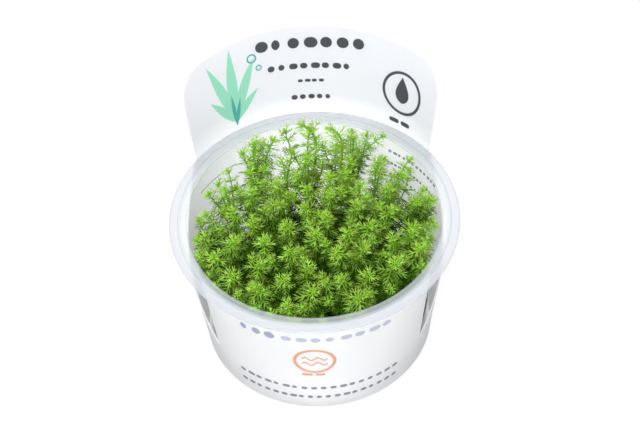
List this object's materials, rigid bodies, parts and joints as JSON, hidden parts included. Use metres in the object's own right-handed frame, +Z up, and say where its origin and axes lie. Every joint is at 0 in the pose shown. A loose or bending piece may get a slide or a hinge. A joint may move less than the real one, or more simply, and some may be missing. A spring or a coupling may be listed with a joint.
{
  "type": "guyana milfoil in an open culture cup",
  "caption": "Bright green feathery milfoil shoots standing in gel in a clear flanged cup, with a white card sleeve whose back rises as a round-shouldered header.",
  "frame": {"origin": "middle of the cup's flat underside, on the surface that it stands on", "axes": "+Z up out of the cup's mouth, +Y towards the header that stands behind the plants, +X to the right as the header is read"},
  "size_m": [0.1, 0.1085, 0.09],
  "materials": {
    "clear_plastic": "gloss",
    "white_card": "satin",
    "clear_gel": "gloss",
    "milfoil": "satin"
  },
  "bodies": {
    "root": {"cup": "clear_plastic", "card_sleeve": "white_card", "gel": "clear_gel", "shoot_01": "milfoil", "shoot_02": "milfoil", "shoot_03": "milfoil", "shoot_04": "milfoil", "shoot_05": "milfoil", "shoot_06": "milfoil", "shoot_07": "milfoil", "shoot_08": "milfoil", "shoot_09": "milfoil", "shoot_10": "milfoil", "shoot_11": "milfoil", "shoot_12": "milfoil", "shoot_13": "milfoil", "shoot_14": "milfoil", "shoot_15": "milfoil", "shoot_16": "milfoil", "shoot_17": "milfoil", "shoot_18": "milfoil", "shoot_19": "milfoil", "shoot_20": "milfoil", "shoot_21": "milfoil", "shoot_22": "milfoil", "shoot_23": "milfoil", "shoot_24": "milfoil", "shoot_25": "milfoil", "shoot_26": "milfoil", "shoot_27": "milfoil", "shoot_28": "milfoil", "shoot_29": "milfoil", "shoot_30": "milfoil", "shoot_31": "milfoil", "shoot_32": "milfoil", "shoot_33": "milfoil", "shoot_34": "milfoil", "shoot_35": "milfoil", "shoot_36": "milfoil", "shoot_37": "milfoil", "shoot_38": "milfoil", "shoot_39": "milfoil", "shoot_40": "milfoil", "shoot_41": "milfoil", "shoot_42": "milfoil", "shoot_43": "milfoil", "shoot_44": "milfoil", "shoot_45": "milfoil", "shoot_46": "milfoil", "shoot_47": "milfoil", "shoot_48": "milfoil", "shoot_49": "milfoil", "shoot_50": "milfoil", "shoot_51": "milfoil", "shoot_52": "milfoil"}
  },
  "joints": []
}
